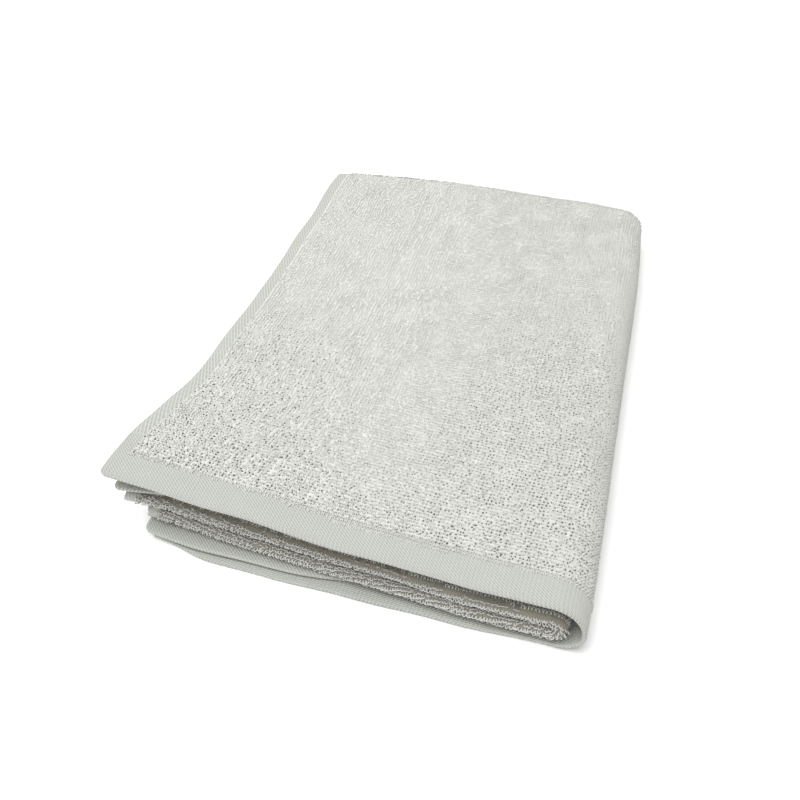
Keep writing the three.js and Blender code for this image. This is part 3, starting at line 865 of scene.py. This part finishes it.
def filled_weave(colour):
    """Bleached cotton in plain weave, the ground that carries the loops.

    It is pale with the loose fibres that fill it between them, and has painted shade, down to a tenth of its
    colour, where one looks down through a loop."""
    material, tree = new_material("bleached_cotton_plain_weave")
    # This map counts in loops, so at a scale of 1 the pattern has one cell for each loop.
    spot = add(tree, "ShaderNodeUVMap", uv_map="HolePlace")
    loops = add(
        tree, "ShaderNodeTexVoronoi", {"Vector": spot.outputs["UV"], "Scale": 1.0, "Randomness": 0.68},
        voronoi_dimensions="2D",
    )
    hole = add(
        tree, "ShaderNodeMapRange",
        {
            "Value": loops.outputs["Distance"],
            "From Min": 0.17, "From Max": 0.38, "To Min": 1.0, "To Max": 0.0,
        },
    )
    # Patches where the loops stand open, with deeper painted shade in their holes, and patches where they
    # have closed, a few loops across.
    cover = add(
        tree, "ShaderNodeTexNoise",
        {"Vector": spot.outputs["UV"], "Scale": 0.35, "Detail": 3.0, "Roughness": 0.7},
    )
    openness = add(
        tree, "ShaderNodeMapRange",
        {"Value": cover.outputs["Fac"], "From Min": 0.36, "From Max": 0.6, "To Min": 0.35, "To Max": 1.4},
    )
    # On the left the painted shade lies in streaks along the warp, one loop wide and a few loops long.
    stretched = add(
        tree, "ShaderNodeVectorMath", {0: spot.outputs["UV"], 1: (0.95, 0.36, 1.0)}, operation="MULTIPLY",
    )
    streaks = add(
        tree, "ShaderNodeTexNoise", {"Vector": stretched.outputs["Vector"], "Scale": 1.0, "Detail": 1.0},
    )
    streak = add(
        tree, "ShaderNodeMapRange",
        {"Value": streaks.outputs["Fac"], "From Min": 0.42, "From Max": 0.58, "To Min": 0.35, "To Max": 1.7},
    )
    left = add(tree, "ShaderNodeAttribute", attribute_name="pile_streaks")
    open_here = add(
        tree, "ShaderNodeMix",
        {"Factor": left.outputs["Fac"], "A": openness.outputs[0], "B": streak.outputs[0]}, data_type="FLOAT",
    )
    depth = add(tree, "ShaderNodeAttribute", attribute_name="pile_relief")
    depth_here = add(
        tree, "ShaderNodeMath", {0: open_here.outputs[0], 1: depth.outputs["Fac"]}, operation="MULTIPLY",
    )
    # The painted shade of the holes: deeper where the loops stand open and where the pile is deep.
    painted_hole_shade = add(tree, "ShaderNodeMath", {0: hole.outputs[0], 1: depth_here.outputs[0]}, operation="MULTIPLY")
    # It darkens the cotton's colour in the holes as painted shade; the same mask also gives the bump.
    shade = add(tree, "ShaderNodeValToRGB", {"Fac": painted_hole_shade.outputs[0]})
    shade.color_ramp.elements[0].color = list(colour) + [1]
    shade.color_ramp.elements[1].color = [c * HOLE_PAINTED_SHADE for c in colour] + [1]
    bump = add(
        tree, "ShaderNodeBump", {"Height": painted_hole_shade.outputs[0], "Strength": 0.6, "Distance": 0.0003}, invert=True,
    )
    shader = add(
        tree, "ShaderNodeBsdfPrincipled",
        {
            "Base Color": shade.outputs["Color"], "Roughness": 0.95, "IOR": 1.53,
            "Sheen Weight": 0.2, "Sheen Roughness": 0.5, "Normal": bump.outputs["Normal"],
        },
    )
    add(tree, "ShaderNodeOutputMaterial", {"Surface": shader.outputs["BSDF"]})
    return material


def plain_weave_in_painted_shade(colour):
    """The same ground on the inner layers, where it shows between open loops, with painted warm shade: its
    colour is darkened for the shade between the layers.
    """
    material, tree = new_material("bleached_cotton_inner_weave_painted_shade")
    cloth = add(tree, "ShaderNodeUVMap", uv_map="ClothPlace")
    # Its yarns are drawn 0.95 mm apart across the cloth and 0.8 mm along it, coarser than real ones, so that
    # they show.
    waves = []
    for direction in ((2 * math.pi / 0.95, 0, 0), (0, 2 * math.pi / 0.8, 0)):
        along = add(
            tree, "ShaderNodeVectorMath", {0: cloth.outputs["UV"], 1: direction}, operation="DOT_PRODUCT",
        )
        waves.append(add(tree, "ShaderNodeMath", {0: along.outputs["Value"]}, operation="SINE"))
    weave = add(
        tree, "ShaderNodeMath", {0: waves[0].outputs[0], 1: waves[1].outputs[0]}, operation="MULTIPLY",
    )
    bump = add(tree, "ShaderNodeBump", {"Height": weave.outputs[0], "Strength": 0.6, "Distance": 0.00012})
    shader = add(
        tree, "ShaderNodeBsdfPrincipled",
        {
            # The cotton's colour, darkened and warmed as painted shade.
            "Base Color": [c * share for c, share in zip(colour, INNER_PAINTED_SHADE)] + [1],
            "Roughness": 0.95, "IOR": 1.53,
            "Sheen Weight": 0.2, "Sheen Roughness": 0.5, "Normal": bump.outputs["Normal"],
        },
    )
    add(tree, "ShaderNodeOutputMaterial", {"Surface": shader.outputs["BSDF"]})
    return material


def table_top(colour):
    """A matt white laminate board, sprayed and rubbed down: an even pale floor."""
    material, tree = new_material("matt_white_laminate")
    where = add(tree, "ShaderNodeTexCoord")
    # The spray leaves a grain of 1.1 mm.
    grain = add(
        tree, "ShaderNodeTexNoise", {"Vector": where.outputs["Object"], "Scale": 900.0, "Detail": 2.0},
    )
    bump = add(tree, "ShaderNodeBump", {"Height": grain.outputs["Fac"], "Strength": 0.05, "Distance": 0.0001})
    shader = add(
        tree, "ShaderNodeBsdfPrincipled",
        {"Base Color": list(colour) + [1], "Roughness": 0.7, "Normal": bump.outputs["Normal"]},
    )
    add(tree, "ShaderNodeOutputMaterial", {"Surface": shader.outputs["BSDF"]})
    return material


# The studio, in metres and degrees

FLOOR_REACH = 6.0
WALL_COLOUR = (1, 0.98, 0.95, 1)
LAMP_PLACE = (-0.2, -0.3, 1.6)
LAMP_WIDTH = 1.2
LAMP_COLOUR = (0.955, 0.995, 0.985)
CAMERA_PLACE = (0.067996, -0.233434, 0.236556)
CAMERA_ANGLES = (19.087, 46.3, -3.472)  # azimuth, elevation and roll
SENSOR_WIDTH, FOCAL_LENGTH = 36, 34.345  # in millimetres


def set_camera(scene):
    """The photograph's viewpoint, worked out from the towel's corners and edges in it."""
    azimuth, elevation, roll = (math.radians(angle) for angle in CAMERA_ANGLES)
    back = Vector((
        math.sin(azimuth) * math.cos(elevation),
        -math.cos(azimuth) * math.cos(elevation),
        math.sin(elevation),
    ))
    right = (-back).cross(Vector((0, 0, 1))).normalized()
    up = right.cross(-back)
    tilted_right = right * math.cos(roll) + up * math.sin(roll)
    tilted_up = up * math.cos(roll) - right * math.sin(roll)
    data = bpy.data.cameras.new("photo_camera")
    data.sensor_width = SENSOR_WIDTH
    data.lens = FOCAL_LENGTH
    data.clip_start, data.clip_end = 0.01, 100
    camera = bpy.data.objects.new("photo_camera", data)
    turn = Matrix((tilted_right, tilted_up, back)).transposed().to_4x4()
    camera.matrix_world = Matrix.Translation(CAMERA_PLACE) @ turn
    scene.collection.objects.link(camera)
    scene.camera = camera


# The add-on


class TowelSettings(bpy.types.PropertyGroup):
    flat_width: bpy.props.FloatProperty(
        name="Flat width", description="Width of the cloth before it is folded",
        default=FLAT_WIDTH * MM, min=0.1, unit="LENGTH",
    )
    flat_length: bpy.props.FloatProperty(
        name="Flat length", description="Length of the cloth before it is folded",
        default=FLAT_LENGTH * MM, min=0.1, unit="LENGTH",
    )
    loop_pitch: bpy.props.FloatProperty(
        name="Loop pitch", description="Distance from one pile loop to the next",
        default=0.00135, min=0.001, unit="LENGTH",
    )
    loop_width: bpy.props.FloatProperty(
        name="Loop width", description="Width of a pile loop",
        default=0.00090, min=0.0005, unit="LENGTH",
    )
    loop_height: bpy.props.FloatProperty(
        name="Loop height", description="Length of a pile loop from its root to its top",
        default=0.00110, min=0.0005, unit="LENGTH",
    )
    yarn: bpy.props.FloatProperty(
        name="Yarn", description="Thickness of the pile yarn",
        default=0.00064, min=0.0002, unit="LENGTH",
    )
    cotton: bpy.props.FloatVectorProperty(
        name="Cotton", description="Colour of the bleached cotton", subtype="COLOR",
        default=linear("#d6d5d1"), min=0, max=1,
    )
    # The hems' colour is the cotton's own, with painted shade: it is darker to stand for the shadows of their
    # ribs.
    hem: bpy.props.FloatVectorProperty(
        name="Hems", description="Colour of the twill hems, whose ribs shade it a little", subtype="COLOR",
        default=linear("#cacbc5"), min=0, max=1,
    )


class StudioSettings(bpy.types.PropertyGroup):
    floor: bpy.props.FloatVectorProperty(
        name="Floor", description="Colour of the floor", subtype="COLOR",
        default=linear("#fafafa"), min=0, max=1,
    )
    daylight: bpy.props.FloatProperty(
        name="Surrounding light", description="Strength of the even light from all round",
        default=0.56, min=0,
    )
    key: bpy.props.FloatProperty(
        name="Soft box", description="Power of the large soft box above",
        default=25.5, min=0, unit="POWER",
    )


class TOWEL_OT_ground(bpy.types.Operator):
    """Makes the woven cloth with its hems, folded"""

    bl_idname = "towel.ground"
    bl_label = "Woven ground and hems"

    def execute(self, context):
        settings = context.scene.towel
        colour = list(settings.cotton)
        hem_colour_with_painted_shade = list(settings.hem)
        materials = [
            filled_weave(colour),
            twill(hem_colour_with_painted_shade, "bleached_cotton_twill_hem", period=0.82, slope=37.8),
            twill(hem_colour_with_painted_shade, "bleached_cotton_side_hem", period=1.25, slope=62),
            plain_weave_in_painted_shade(colour),
        ]
        piece = ground_mesh(FoldedCloth(), settings.loop_pitch / MM, materials)
        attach(piece, "root")
        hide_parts("towel_cloth")
        return {"FINISHED"}


class TOWEL_OT_pile(bpy.types.Operator):
    """Makes the loops of the pile, on every face of the cloth that can be seen"""

    bl_idname = "towel.pile"
    bl_label = "Pile loops"

    def execute(self, context):
        settings = context.scene.towel
        cloth = FoldedCloth()
        yarn_finish = pile_yarn(list(settings.cotton))
        for name, roots, steps in pile_patches(cloth, settings.loop_pitch / MM):
            lay = lay_of_pile(roots)
            points = loop_points(roots, *lay, *loop_sizes(roots, settings), steps)
            piece = pile_mesh(name, points, steps, yarn_finish)
            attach(piece, "root")
        return {"FINISHED"}


class TOWEL_OT_studio(bpy.types.Operator):
    """Makes the floor, the soft light and the camera"""

    bl_idname = "towel.studio"
    bl_label = "Studio"

    def execute(self, context):
        settings = context.scene.towel_studio
        scene = context.scene
        mesh = bpy.data.meshes.new("studio_floor")
        reach = FLOOR_REACH
        corners = [(-reach, -reach, 0), (reach, -reach, 0), (reach, reach, 0), (-reach, reach, 0)]
        mesh.from_pydata(corners, [], [(0, 1, 2, 3)])
        mesh.materials.append(table_top(list(settings.floor)))
        floor = bpy.data.objects.new("studio_floor", mesh)
        scene.collection.objects.link(floor)

        world = bpy.data.worlds.new("studio_walls")
        world.use_nodes = True
        tree = world.node_tree
        tree.nodes.clear()
        light = add(tree, "ShaderNodeBackground", {"Color": WALL_COLOUR, "Strength": settings.daylight})
        add(tree, "ShaderNodeOutputWorld", {"Surface": light.outputs[0]})
        scene.world = world

        lamp = bpy.data.lights.new("soft_box", "AREA")
        lamp.shape = "DISK"
        lamp.size = LAMP_WIDTH
        lamp.energy = settings.key
        lamp.color = LAMP_COLOUR
        box = bpy.data.objects.new("soft_box", lamp)
        box.location = LAMP_PLACE
        box.rotation_euler = Vector(box.location).to_track_quat("Z", "Y").to_euler()
        scene.collection.objects.link(box)

        set_camera(scene)
        scene.view_settings.view_transform = "Standard"
        scene.view_settings.look = "None"
        return {"FINISHED"}


class TOWEL_PT_panel(bpy.types.Panel):
    """The towel's sizes and colours, and a button for each piece"""

    bl_label = "Folded face towel"
    bl_idname = "TOWEL_PT_panel"
    bl_space_type = "VIEW_3D"
    bl_region_type = "UI"
    bl_category = "Towel"

    def draw(self, context):
        for group in (context.scene.towel, context.scene.towel_studio):
            column = self.layout.column()
            for name in group.__annotations__:
                column.prop(group, name)
        for operator in OPERATORS:
            self.layout.operator(operator.bl_idname)


OPERATORS = (TOWEL_OT_studio, TOWEL_OT_ground, TOWEL_OT_pile)
CLASSES = (TowelSettings, StudioSettings) + OPERATORS + (TOWEL_PT_panel,)


def register():
    for item in CLASSES:
        bpy.utils.register_class(item)
    bpy.types.Scene.towel = bpy.props.PointerProperty(type=TowelSettings)
    bpy.types.Scene.towel_studio = bpy.props.PointerProperty(type=StudioSettings)


def unregister():
    del bpy.types.Scene.towel_studio
    del bpy.types.Scene.towel
    for item in reversed(CLASSES):
        bpy.utils.unregister_class(item)


def main():
    register()
    bpy.ops.towel.studio()
    bpy.ops.towel.ground()
    bpy.ops.towel.pile()


if __name__ == "__main__":
    main()
